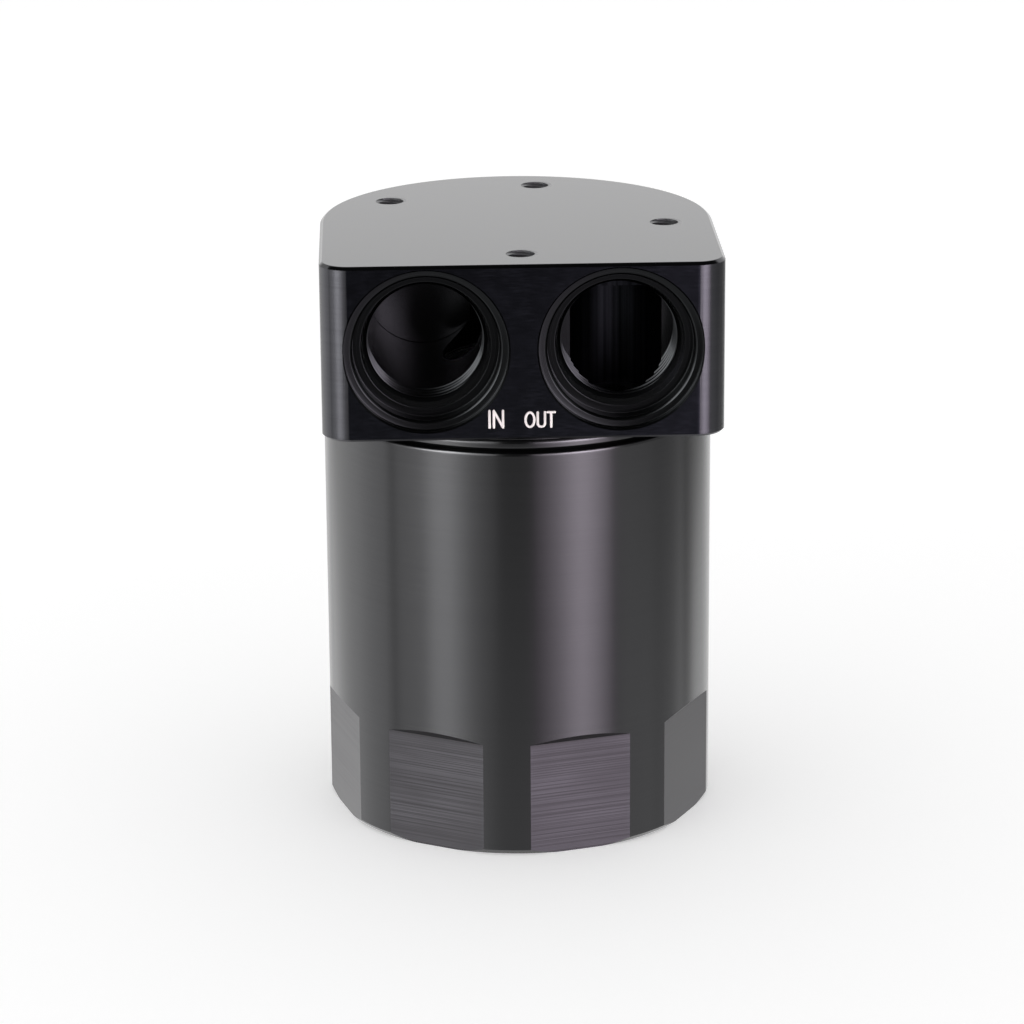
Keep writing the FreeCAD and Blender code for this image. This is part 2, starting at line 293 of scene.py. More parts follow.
def block_solid():
    """Block with a round back, a flat front and rounded front corners."""
    height = block_top - COLLAR_TOP
    middle = (block_top + COLLAR_TOP) / 2
    bpy.ops.mesh.primitive_cylinder_add(
        vertices=SIDES, radius=radius, depth=height, location=(0, 0, middle))
    piece = bpy.context.object
    bpy.ops.object.transform_apply(location=True)
    bpy.ops.object.mode_set(mode="EDIT")
    bpy.ops.mesh.select_all(action="SELECT")
    bpy.ops.mesh.bisect(plane_co=(0, 0, 0), plane_no=(0, 1, 0), clear_inner=True, use_fill=True)
    pick(piece, "FACE", lambda face: (
        face.normal.y < FRONT_NORMAL and near(face.calc_center_median().y, 0)))
    bpy.ops.mesh.extrude_region_move(TRANSFORM_OT_translate={"value": (0, face_y, 0)})
    pick(piece, "EDGE", lambda edge: near(edge.verts[0].co.x, edge.verts[1].co.x) and all(
        near(vertex.co.y, face_y) for vertex in edge.verts))
    bpy.ops.mesh.bevel(
        offset=CORNER_RADIUS, segments=CORNER_STEPS, profile=0.5, affect="EDGES")
    for level, size in ((block_top, TOP_CHAMFER), (COLLAR_TOP, BOTTOM_CHAMFER)):
        pick(piece, "EDGE", lambda edge: rim_edge(edge, level))
        bpy.ops.mesh.bevel(offset=size, segments=1, affect="EDGES")
    pick(piece, "EDGE", lambda edge: flat_at(edge, block_top) and len(edge.link_faces) == 2)
    bpy.ops.mesh.bevel(offset=EASE, segments=EASE_STEPS, affect="EDGES")
    bpy.ops.mesh.select_all(action="SELECT")
    bpy.ops.mesh.normals_make_consistent(inside=False)
    bpy.ops.object.mode_set(mode="OBJECT")
    painted(piece, SIDE_FACE)
    # The flat front gets its own number for the darker front colour, painted shade.
    painted(piece, FRONT_FACE, lambda face: face.normal.y < FRONT_NORMAL)
    return painted(piece, TOP_FACE, lambda face: face.normal.z > TOP_NORMAL)


block = measured(block_solid())

# %% [markdown]
# The ports carry plain marks, IN and OUT, cut through the black layer to bare metal with a small
# round-nosed engraving tool, so every stroke has round ends. One stroke is a ball pulled apart:
# a sphere with an odd number of rings has none on its middle, so its far half can be moved away
# to leave a capsule. The strokes are joined, flattened to a shallow groove and cut in one go.
# A text object would be quicker, but its letters have square ends.

# %% Helpers for engraved letters
STROKE = 0.48 * MM
MARK_FOOT = 86.45 * MM
BALL_SIDES = 16
BALL_RINGS = 7
BEND_STEPS = 8
RING_STEPS = 24


def capsule(start, end):
    """Round-ended stroke between two points of the XZ plane."""
    bpy.ops.mesh.primitive_uv_sphere_add(
        segments=BALL_SIDES, ring_count=BALL_RINGS, radius=STROKE / 2)
    stroke = bpy.context.object
    run = Vector(end) - Vector(start)
    bpy.ops.object.mode_set(mode="EDIT")
    pick(stroke, "VERT", lambda vertex: vertex.co.z > 0)
    bpy.ops.transform.translate(value=(0, 0, run.length))
    bpy.ops.object.mode_set(mode="OBJECT")
    lean = math.degrees(math.atan2(run.x, run.y))
    return placed(stroke, (start[0], 0, start[1]), (0, lean, 0))


def arc_points(middle, across, up, first, last, steps):
    """Points along an elliptical arc between two angles in degrees."""
    angles = [math.radians(first + (last - first) * step / steps) for step in range(steps + 1)]
    return [(middle[0] + across * math.cos(a), middle[1] + up * math.sin(a)) for a in angles]


def letter_paths(letter, left, width, height):
    """Strokes of one letter, each a list of points; every letter stands on MARK_FOOT."""
    foot = MARK_FOOT + STROKE / 2
    head_line = foot + height - STROKE
    near_side = left + STROKE / 2
    far_side = left + width - STROKE / 2
    centre = left + width / 2
    half = (width - STROKE) / 2
    if letter == "I":
        return [[(centre, foot), (centre, head_line)]]
    if letter == "N":
        up = [(near_side, foot), (near_side, head_line)]
        return [up + [(far_side, foot), (far_side, head_line)]]
    if letter == "T":
        bar = [(near_side, head_line), (far_side, head_line)]
        return [bar, [(centre, foot), (centre, head_line)]]
    if letter == "U":
        bend = arc_points((centre, foot + half), half, half, 180, 360, BEND_STEPS)
        return [[(near_side, head_line)] + bend + [(far_side, head_line)]]
    middle = (centre, (foot + head_line) / 2)
    return [arc_points(middle, half, (head_line - foot) / 2, 0, 360, RING_STEPS)]


# %% [markdown]
# Each letter is given by its left edge, width and height as they look on the real front. The
# two words stand on one line, low down between the ports, and IN is a little taller than OUT,
# as it is on the real one.

# %% Engrave the port marks
GROOVE_DEPTH = 0.12 * MM
LETTERS = [
    ("I", -6.89 * MM, 0.62 * MM, 3.72 * MM),
    ("N", -6.00 * MM, 2.20 * MM, 3.72 * MM),
    ("O", -0.05 * MM, 2.15 * MM, 3.30 * MM),
    ("U", 2.25 * MM, 1.85 * MM, 3.30 * MM),
    ("T", 4.10 * MM, 1.85 * MM, 3.30 * MM),
]
strokes = []
for letter in LETTERS:
    for path in letter_paths(*letter):
        strokes += [capsule(start, end) for start, end in zip(path, path[1:])]
select_only(strokes[0])
for stroke in strokes[1:]:
    stroke.select_set(True)
bpy.ops.object.join()
marks = bpy.context.object
marks.scale = (1, 2 * GROOVE_DEPTH / STROKE, 1)
bpy.ops.object.transform_apply(scale=True)
placed(marks, (0, face_y, 0))
combined(block, painted(marks, ENGRAVED), "DIFFERENCE", overlaps=True)
print("strokes engraved", len(strokes))
measured(block)

# %% [markdown]
# Under the block comes the turned part of the same billet: a collar, a shoulder that the cup
# stops against, and the threaded neck. The collar is a straight band with a rounded top edge,
# which catches one thin line of light. Below it the shoulder is undercut as a cone, so that its
# wall faces down into the gap and stays dark: that is the black groove between head and cup.
# The neck's core is turned to the thread's root, and its thread is added later as a helical
# ridge.

# %% Turn the collar and neck, and join them to the block
COLLAR_INSET = 0.1 * MM
SHOULDER_RADIUS = radius - 1.1 * MM
SHOULDER_TOP = cup_top + 1.1 * MM
CUP_THREAD_RADIUS = radius - 3.2 * MM
NECK_RADIUS = CUP_THREAD_RADIUS - 0.3 * MM
NECK_ROOT = NECK_RADIUS - 0.9 * MM
COLLAR_BAND = 0.75 * MM
UNDERCUT = 0.4 * MM
COLLAR_ROUND = 0.9 * MM
COLLAR_ARC = 60
COLLAR_STEPS = 8
GLAND_RADIUS = radius - 1.6 * MM
GLAND_DEPTH = GLAND_RADIUS - NECK_RADIUS
SUNK = 1.0 * MM

collar_radius = radius - COLLAR_INSET
collar_middle = (collar_radius - COLLAR_ROUND, SHOULDER_TOP + COLLAR_BAND)
collar_bead = arc_points(
    collar_middle, COLLAR_ROUND, COLLAR_ROUND, 0, COLLAR_ARC, COLLAR_STEPS)
neck_outline = eased([
    (NECK_ROOT, neck_bottom),
    (NECK_ROOT, cup_top),
    (SHOULDER_RADIUS - UNDERCUT, cup_top),
    (collar_radius, SHOULDER_TOP),
    collar_bead[0],
])[:-1] + collar_bead + [(collar_bead[-1][0], COLLAR_TOP + SUNK)]
neck = painted(turned("neck", neck_outline), TURNED)
head = combined(block, neck, "UNION")
head.name = "head_body"
measured(head)

# %% [markdown]
# Each port is an O-ring boss: a shallow spotface for the fitting's shoulder, a counterbore, the
# sloping seat for the O-ring, and the thread. A boring tool is modelled as one turned solid with
# all those steps, so that they stay true to one axis, and it is subtracted in one cut.
# This cell lists the steps from the front face inwards. The cone's length and angle, not its
# inner radius, are what the real reamer has, so the radius is worked out from them.

# %% Steps of an O-ring boss port
OVER = 2.0 * MM
PORT_EDGE = 0.35 * MM
SPOTFACE_RADIUS = 15.5 * MM
SPOTFACE_DEPTH = 1.8 * MM
COUNTERBORE_RADIUS = 13.85 * MM
COUNTERBORE_DEPTH = 5.1 * MM
COUNTERBORE_CHAMFER = 0.5 * MM
CONE_MOUTH = 12.3 * MM
CONE_LENGTH = 2.54 * MM
CONE_ANGLE = math.radians(12)
THREAD_LENGTH = mounts["in_port"]["dims"]["length_mm"] * MM

cone_end = CONE_MOUTH - CONE_LENGTH * math.tan(CONE_ANGLE)
cone_end_depth = COUNTERBORE_DEPTH + CONE_LENGTH
thread_start = cone_end_depth + cone_end - port_thread_radius
thread_end = thread_start + THREAD_LENGTH
port_mouth = [
    (SPOTFACE_RADIUS + PORT_EDGE, -OVER),
    (SPOTFACE_RADIUS + PORT_EDGE, 0),
    (SPOTFACE_RADIUS, PORT_EDGE),
    (SPOTFACE_RADIUS, SPOTFACE_DEPTH),
    (COUNTERBORE_RADIUS + COUNTERBORE_CHAMFER, SPOTFACE_DEPTH),
    (COUNTERBORE_RADIUS, SPOTFACE_DEPTH + COUNTERBORE_CHAMFER),
    (COUNTERBORE_RADIUS, COUNTERBORE_DEPTH),
    (CONE_MOUTH, COUNTERBORE_DEPTH),
    (cone_end, cone_end_depth),
    (port_thread_radius, thread_start),
]
print("thread from", round(thread_start / MM, 2), "to", round(thread_end / MM, 2), "mm deep")

# %% [markdown]
# The inlet runs on as a plain bore past the middle of the head. The boring bar leaves a small
# groove in the corner at its far end, which shows as a thin arc when you look in. The outlet
# ends in an upright round pocket, and a hole is drilled from it down to the chamber.

# %% Bore the two ports
BORE_SIDES = 192
DRILL_SIDES = 96
INLET_BORE_RADIUS = 11.3 * MM
INLET_BORE_DEPTH = 11.6 * MM - face_y
CORNER_GROOVE = 0.3 * MM
POCKET_RADIUS = 8.8 * MM
POCKET_FROM_FACE = 19.1 * MM
POCKET_FLOOR = outlet.z - port_thread_radius - 3.0 * MM
POCKET_ROOF = outlet.z + port_thread_radius - 3.6 * MM
OUTLET_HOLE_RADIUS = 5.5 * MM
NECK_INNER = NECK_RADIUS - 4.1 * MM
CHAMBER_TOP = cup_top + 4.6 * MM
tube_radius = tube_high.x
middle_radius = (tube_radius + NECK_INNER) / 2


def bored(piece, outline, place):
    """Cut a turned hole that runs along +Y from the front face."""
    cutter = placed(turned("boring_tool", eased(outline), sides=BORE_SIDES), place, ALONG_Y)
    return combined(piece, painted(cutter, BORED), "DIFFERENCE")


def drilled(piece, hole_radius, bottom, top, place):
    """Cut a plain upright hole between two heights."""
    cutter = turned("drill", [(hole_radius, bottom), (hole_radius, top)], sides=DRILL_SIDES)
    cutter = placed(cutter, (place[0], place[1], 0))
    return combined(piece, painted(cutter, BORED), "DIFFERENCE")


bored(head, port_mouth + [
    (port_thread_radius, thread_end),
    (INLET_BORE_RADIUS, thread_end),
    (INLET_BORE_RADIUS, INLET_BORE_DEPTH - CORNER_GROOVE),
    (INLET_BORE_RADIUS + CORNER_GROOVE, INLET_BORE_DEPTH - CORNER_GROOVE),
    (INLET_BORE_RADIUS + CORNER_GROOVE, INLET_BORE_DEPTH),
], (inlet.x, face_y, inlet.z))
bored(head, port_mouth + [
    (port_thread_radius, POCKET_FROM_FACE),
], (outlet.x, face_y, outlet.z))
pocket_y = face_y + POCKET_FROM_FACE
drilled(head, POCKET_RADIUS, POCKET_FLOOR, POCKET_ROOF, (outlet.x, pocket_y))
hole_turn = math.atan2(pocket_y, outlet.x)
outlet_hole = (middle_radius * math.cos(hole_turn), middle_radius * math.sin(hole_turn))
drilled(head, OUTLET_HOLE_RADIUS, CHAMBER_TOP - OVER, outlet.z, outlet_hole)
measured(head)

# %% [markdown]
# Inside, the neck is bored open, the drop tube has a seat, and a central chamber above it meets
# the inlet bore. The four tapped holes in the top and the three for the pillars are drilled
# last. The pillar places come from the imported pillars, so they can't drift apart.

# %% Bore the chamber and drill the tapped holes
CENTRAL_RADIUS = 14.6 * MM
ROOF = 6.0 * MM
TAPPED_DEPTH = 10.0 * MM
TAPPED_EASE = 0.05 * MM
TAP_SIDES = 64
STUD_RADIUS = 2.0 * MM
STUD_HOLE = 6.0 * MM
TUBE_SEAT = tube_radius + 0.02 * MM

chamber_outline = eased([
    (NECK_INNER, neck_bottom - OVER),
    (NECK_INNER, CHAMBER_TOP),
    (TUBE_SEAT, CHAMBER_TOP),
    (TUBE_SEAT, tube_high.z),
    (CENTRAL_RADIUS, tube_high.z),
    (CENTRAL_RADIUS, block_top - ROOF),
])
combined(head, painted(turned("chamber_tool", chamber_outline), BORED), "DIFFERENCE")

for hole in tapped_holes:
    mouth = tapped_radius + TAPPED_EASE
    outline = [
        (tapped_radius, block_top - TAPPED_DEPTH),
        (tapped_radius, block_top - TAPPED_EASE),
        (mouth, block_top),
        (mouth, block_top + OVER),
    ]
    drill = placed(turned("tapping_drill", outline, sides=TAP_SIDES), (hole.x, hole.y, 0))
    combined(head, painted(drill, BORED), "DIFFERENCE")

pillar_places = []
for number in (1, 2, 3):
    low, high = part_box("pillar_" + str(number))
    pillar_places.append((low + high) / 2)
for pillar in pillar_places:
    drilled(head, STUD_RADIUS, CHAMBER_TOP - OVER, CHAMBER_TOP + STUD_HOLE, pillar)
measured(head)

# %% [markdown]
# All those holes are one kind of face so far. In the real head each tool leaves its own marks:
# the ports are bored, their seats reamed, the pocket plunge-milled, and the mounting holes
# tapped. The faces are told apart by where they lie, and most groups also get painted light and
# shade: painted shade in the port mouths and the pocket, painted light on the seat and the
# tapped threads. Only the seat needs its slope as well: a cone of 12 degrees leans by 0.21, and
# the straight steps and their rounds by less or by more.

# %% Tell the finishes inside the holes apart
SEAT_LEAN_FROM = 0.1
SEAT_LEAN_TO = 0.4


def away(face, place):
    """Distance of a face from an upright axis."""
    return math.hypot(face.center.x - place.x, face.center.y - place.y)


# The port mouths' faces get the darker port colour: painted shade.
painted(head, PORT_FACE, lambda face: (
    face.material_index == BORED and face.center.z > COLLAR_TOP
    and face.center.y < face_y + thread_start))
# The seat's faces get the paler seat colour: painted light.
painted(head, SEAT_FACE, lambda face: (
    face.material_index == PORT_FACE
    and SEAT_LEAN_FROM < abs(face.normal.y) < SEAT_LEAN_TO))
pocket_axis = Vector((outlet.x, pocket_y, 0))
# The pocket's faces get the near-black pocket colour: painted shade.
painted(head, POCKET_FACE, lambda face: (
    face.material_index == BORED and face.center.z > POCKET_FLOOR - EASE
    and face.center.y > face_y + thread_end / 2
    and away(face, pocket_axis) < POCKET_RADIUS + EASE))
# The tapped holes' faces get the paler tapped colour: painted light.
painted(head, TAPPED_FACE, lambda face: (
    face.material_index == BORED and face.center.z > block_top - TAPPED_DEPTH - EASE
    and any(away(face, hole) < tapped_radius + EASE for hole in tapped_holes)))
finished(head)
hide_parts("head")
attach(head, "head")

# %% [markdown]
# The cup is turned in one setting from solid bar: a stepped mouth for the O-ring and thread, a
# plain bore and a rounded inside corner. Its outer rim is eased by a tall, narrow curve, which
# the light follows as one bright line all round. The outline starts and ends half a millimetre
# from the axis, where two small flat caps close it.

# %% Turn the cup
CUP_SIDES = 360
CUP_BORE = radius - 4.1 * MM
CUP_FLOOR = 5.0 * MM
FLOOR_FILLET = 4.0 * MM
FILLET_STEPS = 10
BASE_CHAMFER = 1.1 * MM
RIM_ACROSS = 0.22 * MM
RIM_DOWN = 0.6 * MM
RIM_STEPS = 8
THREAD_RUNOUT = 0.8 * MM
CENTRE_DOT = 0.5 * MM
TURNED_WALL, MILLED_FLAT, CUP_INSIDE = range(3)

fillet = []
for step in range(FILLET_STEPS + 1):
    turn = math.pi / 2 * step / FILLET_STEPS
    fillet.append((
        CUP_BORE - FLOOR_FILLET * (1 - math.cos(turn)),
        CUP_FLOOR + FLOOR_FILLET * (1 - math.sin(turn)),
    ))
rim_middle = (radius - RIM_ACROSS, cup_top - RIM_DOWN)
rim = arc_points(rim_middle, RIM_ACROSS, RIM_DOWN, 0, 90, RIM_STEPS)
outside = eased([
    (CENTRE_DOT, 0),
    (radius - BASE_CHAMFER, 0),
    (radius, BASE_CHAMFER),
]) + rim + eased([
    rim[-1],
    (GLAND_RADIUS, cup_top),
    (GLAND_RADIUS, cup_top - GLAND_DEPTH),
    (CUP_THREAD_RADIUS, cup_top - GLAND_DEPTH),
    (CUP_THREAD_RADIUS, neck_bottom - THREAD_RUNOUT),
    (CUP_BORE, neck_bottom - THREAD_RUNOUT),
    (CUP_BORE, neck_bottom - 2 * THREAD_RUNOUT),
])
cup = turned("cup_body", outside + fillet + [(CENTRE_DOT, CUP_FLOOR)], sides=CUP_SIDES)
measured(painted(cup, TURNED_WALL))

# %% [markdown]
# The ring of flats at the cup's foot takes a strap or a spanner. It is milled after the turning,
# one flat at a time as the cup is indexed round, so it is cut the same way here: one cutter is
# made, and a copy of it, with its own mesh, is turned to each place. Its sloping top leaves the
# run-out of a round tool, which makes each flat's curved upper edge.
# The flats meet the wall at a shallow angle, so the cup's shading is split at a smaller angle.

# %% Mill the flats
FLAT_COUNT = 8
FLAT_DEPTH = 1.4 * MM
FLAT_TOP = 22.7 * MM
FLAT_FIRST = -73.3
CUTTER_DEPTH = 4 * FLAT_DEPTH
CUP_SMOOTH_BELOW = 13


def flat_cutter():
    """Block that cuts one flat on the +X side, its top sloping outward at 45 degrees."""
    bpy.ops.mesh.primitive_cube_add(size=1)
    cutter = bpy.context.object
    cutter.scale = (CUTTER_DEPTH, radius, FLAT_TOP + OVER)
    cutter.location = (radius - FLAT_DEPTH + CUTTER_DEPTH / 2, 0, (FLAT_TOP - OVER) / 2)
    bpy.ops.object.transform_apply(location=True, rotation=True, scale=True)
    bpy.ops.object.mode_set(mode="EDIT")
    pick(cutter, "EDGE", lambda edge: all(
        near(v.co.z, FLAT_TOP) and v.co.x > radius for v in edge.verts))
    bpy.ops.transform.translate(value=(0, 0, CUTTER_DEPTH))
    bpy.ops.object.mode_set(mode="OBJECT")
    return painted(cutter, MILLED_FLAT)


first_cutter = flat_cutter()
for step in range(FLAT_COUNT):
    copy = first_cutter.copy()
    copy.data = first_cutter.data.copy()
    bpy.context.collection.objects.link(copy)
    placed(copy, turn=(0, 0, FLAT_FIRST + 360 / FLAT_COUNT * step))
    combined(cup, copy, "DIFFERENCE")
bpy.data.objects.remove(first_cutter)
painted(cup, CUP_INSIDE, lambda face: (
    math.hypot(*face.center.xy) < GLAND_RADIUS + EASE and face.center.z > CUP_FLOOR / 2))
finished(cup, CUP_SMOOTH_BELOW)
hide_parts("cup")
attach(cup, "cup")

# %% [markdown]
# Threads are what an engineer looks for in a port. A real one is a groove, but cutting a helix
# with a Boolean is slow and fragile, so the bore is left at the thread's major diameter and the
# thread is laid on it as a ridge. The ridge's four-sided profile starts as a plane, and the
# Screw modifier sweeps it round and along. Its base sinks a little into the wall, its ends are
# filled, and both ends fade out over a quarter turn, as a tap leaves them.

# %% Helper for a helical thread ridge
THREAD_SINK = 0.04 * MM
RIDGE_STEPS = 96
FADE_TURNS = 0.25
BASE_SHARE = 0.875
TOP_SHARE = 0.2


def thread_ridge(name, wall, crest, pitch, turns, base=BASE_SHARE, top=TOP_SHARE):
    """Ridge about Z from height 0 up; base and top are its widths as shares of the pitch."""
    sink = math.copysign(THREAD_SINK, wall - crest)
    bpy.ops.mesh.primitive_plane_add(size=1)
    piece = bpy.context.object
    piece.name = name
    for vertex in piece.data.vertices:
        at_crest = vertex.co.x > 0
        width = (top if at_crest else base) * pitch
        side = math.copysign(width / 2, vertex.co.y)
        vertex.co = (crest if at_crest else wall + sink, 0, side)
    bpy.ops.object.mode_set(mode="EDIT")
    bpy.ops.mesh.select_all(action="SELECT")
    bpy.ops.mesh.delete(type="ONLY_FACE")
    bpy.ops.object.mode_set(mode="OBJECT")
    corners = len(piece.data.vertices)
    steps = round(RIDGE_STEPS * turns)
    bpy.ops.object.modifier_add(type="SCREW")
    sweep = piece.modifiers[-1]
    sweep.angle = math.tau * turns
    sweep.screw_offset = pitch * turns
    sweep.steps = sweep.render_steps = steps
    sweep.use_merge_vertices = False
    bpy.ops.object.modifier_apply(modifier=sweep.name)
    for index, vertex in enumerate(piece.data.vertices):
        turned_by = (index // corners) / steps * turns
        height = min(1, turned_by / FADE_TURNS, (turns - turned_by) / FADE_TURNS)
        along = math.hypot(*vertex.co.xy)
        faded = wall + sink + (along - wall - sink) * height
        vertex.co.x *= faded / along
        vertex.co.y *= faded / along
    bpy.ops.object.mode_set(mode="EDIT")
    bpy.ops.mesh.select_all(action="SELECT")
    bpy.ops.mesh.fill_holes(sides=corners)
    bpy.ops.mesh.select_all(action="SELECT")
    bpy.ops.mesh.normals_make_consistent(inside=False)
    bpy.ops.object.mode_set(mode="OBJECT")
    return piece


def fitted(piece, body):
    """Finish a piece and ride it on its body."""
    finished(piece)
    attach(piece, body)
    return piece


# %% [markdown]
# The ports take a 7/8 inch thread of 14 to the inch, the tapped holes are M6, and the cup's
# joint has a 2 mm pitch. On the cup and the neck the two ridges share one helix, half a pitch
# apart, so they run in each other's grooves as the cup is unscrewed.
# In the ports only the tips of the thread show past the seat, as fine separate lines, so their
# ridges are low and narrow. They start a tenth of a pitch after the seat and end a fifth before
# the bore does. The outlet's thread is cut off by the pocket, and the tapped holes' threads are
# faced off level with the top.

# %% Cut the threads
INCH = 25.4 * MM
PORT_PITCH = INCH / 14
PORT_CREST = 10.9 * MM
PORT_BASE = 0.44
PORT_TOP = 0.3
PORT_LEAD = 0.1
PORT_SPARE = 0.3
TAPPED_PITCH = 1.0 * MM
TAPPED_CREST = 2.5 * MM
FACING_SIDES = 32
FLUSH = 0.02 * MM
JOINT_PITCH = 2.0 * MM
JOINT_BASE = 0.75
NECK_THREAD_FROM = 1.2 * MM
NECK_TURNS = 4.1
CUP_TURNS = 4.6

port_ridges = []
for name, port, end in (
        ("inlet_thread", inlet, thread_end), ("outlet_thread", outlet, POCKET_FROM_FACE)):
    turns = (end - thread_start) / PORT_PITCH - PORT_SPARE
    ridge = thread_ridge(
        name, port_thread_radius, PORT_CREST, PORT_PITCH, turns, PORT_BASE, PORT_TOP)
    start = face_y + thread_start + PORT_PITCH * PORT_LEAD
    placed(ridge, (port.x, start, port.z), ALONG_Y)
    if port == outlet:
        drilled(ridge, POCKET_RADIUS, POCKET_FLOOR, POCKET_ROOF, (outlet.x, pocket_y))
    painted(ridge, 0)
    port_ridges.append(fitted(ridge, "head"))

tapped_ridges = []
for number, hole in enumerate(tapped_holes, start=1):
    turns = TAPPED_DEPTH / TAPPED_PITCH
    ridge = thread_ridge(
        "tapped_thread_" + str(number), tapped_radius, TAPPED_CREST, TAPPED_PITCH, turns)
    placed(ridge, (hole.x, hole.y, block_top - TAPPED_DEPTH + TAPPED_PITCH))
    facing = turned("facing_cut", [
        (2 * tapped_radius, block_top - FLUSH),
        (2 * tapped_radius, block_top + OVER)], sides=FACING_SIDES)
    combined(ridge, placed(facing, (hole.x, hole.y, 0)), "DIFFERENCE")
    painted(ridge, 0)
    tapped_ridges.append(fitted(ridge, "head"))

neck_ridge = thread_ridge(
    "neck_thread", NECK_ROOT, NECK_RADIUS, JOINT_PITCH, NECK_TURNS, JOINT_BASE)
placed(neck_ridge, (0, 0, neck_bottom + NECK_THREAD_FROM))
fitted(neck_ridge, "head")
cup_ridge = thread_ridge(
    "cup_thread", CUP_THREAD_RADIUS, CUP_BORE, JOINT_PITCH, CUP_TURNS, JOINT_BASE)
placed(cup_ridge, (0, 0, neck_bottom + NECK_THREAD_FROM - JOINT_PITCH / 2))
fitted(cup_ridge, "cup")

# %% [markdown]
# The O-ring is moulded rubber, and a thin parting line runs round it where the mould halves
# met. A torus is the start; its outermost and innermost edge loops are beveled and pushed out
# by a few hundredths to make that line.

# %% Mould the O-ring
FLASH = 0.03 * MM
FLASH_WIDTH = 0.12 * MM
RING_SIDES = 192
SECTION_SIDES = 24
seal_section = (seal_high.z - seal_low.z) / 2
seal_middle = seal_high.x - seal_section
seal_z = (seal_low.z + seal_high.z) / 2
bpy.ops.mesh.primitive_torus_add(
    major_segments=RING_SIDES, minor_segments=SECTION_SIDES,
    major_radius=seal_middle, minor_radius=seal_section, location=(0, 0, seal_z))
seal = bpy.context.object
seal.name = "o_ring"
placed(seal, seal.location)
bpy.ops.object.mode_set(mode="EDIT")
pick(seal, "EDGE", lambda edge: all(near(vertex.co.z, seal_z) for vertex in edge.verts))
bpy.ops.mesh.bevel(offset=FLASH_WIDTH / 2, segments=2, affect="EDGES")
pick(seal, "VERT", lambda vertex: near(vertex.co.z, seal_z))
bpy.ops.transform.shrink_fatten(value=FLASH)
bpy.ops.object.mode_set(mode="OBJECT")
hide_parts("cup_seal")
fitted(seal, "seal")

# %% [markdown]
# Now the finishes. Each one starts from what the real surface is and how it was made. Three
# small helpers are enough: one turns a hex colour as a picture editor shows it into the linear
# values that the renderer works in, one adds a node with its settings and links, and one starts
# an empty material.

# %% Helpers for materials
def colour(hex_code):
    """Linear RGBA from an sRGB hex code."""
    parts = [int(hex_code[place:place + 2], 16) / 255 for place in (1, 3, 5)]
    linear = [c / 12.92 if c <= 0.04045 else ((c + 0.055) / 1.055) ** 2.4 for c in parts]
    return (*linear, 1)


def add_node(tree, kind, settings=None, inputs=None):
    """Add a node; an input is set to a value, or linked if it is given another node's socket."""
    node = tree.nodes.new(kind)
    for name, value in (settings or {}).items():
        setattr(node, name, value)
    for name, value in (inputs or {}).items():
        if isinstance(value, bpy.types.NodeSocket):
            tree.links.new(value, node.inputs[name])
        else:
            node.inputs[name].default_value = value
    return node


def new_material(name):
    """Empty node material, and its tree."""
    material = bpy.data.materials.new(name)
    material.use_nodes = True
    material.node_tree.nodes.clear()
    return material, material.node_tree


# %% [markdown]
# A cutting tool leaves marks in lines: rings on a turned wall, straight lines on a milled one.
# All of them are one noise pattern, stretched along the line and tight across it, so one
# function makes every machined finish. The pattern drives a little bump, roughness and colour.
# The grain's three lengths are real sizes along X, Y and Z. A second, coarser noise breaks the
# lines up, because a tool never cuts equally deep all along.
# Turned metal also scatters light across its grooves and hardly along them. That is what
# stretches a highlight into an upright band, and the shader's anisotropy does it, turned a
# quarter so that the wide direction is upright.
# A port's rings run round its own axis, so its pattern is laid on the distance from that axis.
# The Mix node has sockets for numbers, vectors and colours, so its colours go by their places.

# %% Function for machined metal
MIX_FIRST, MIX_SECOND, MIX_RESULT = 6, 7, 2
QUARTER_TURN = 0.25
LONG = 400.0
SOFT_LINES = 0.15
NOISE_DETAIL = 2.0
NOISE_ROUGHNESS = 0.55
PATCH_FROM = 0.35
PATCH_TO = 0.65
FAINTEST = 0.3


def ring_place(tree, place, axis):
    """Distance from a port's axis as X, and Y as it is; X is folded, so both ports get rings."""
    split = add_node(tree, "ShaderNodeSeparateXYZ", None, {"Vector": place})
    folded = add_node(tree, "ShaderNodeMath", {"operation": "ABSOLUTE"}, {0: split.outputs["X"]})
    level = add_node(tree, "ShaderNodeCombineXYZ", None, {
        "X": folded.outputs[0], "Z": split.outputs["Z"]})
    away_from_axis = add_node(tree, "ShaderNodeVectorMath", {"operation": "DISTANCE"}, {
        0: level.outputs[0], 1: (abs(axis.x), 0, axis.z)})
    return add_node(tree, "ShaderNodeCombineXYZ", None, {
        "X": away_from_axis.outputs["Value"], "Y": split.outputs["Y"]}).outputs[0]


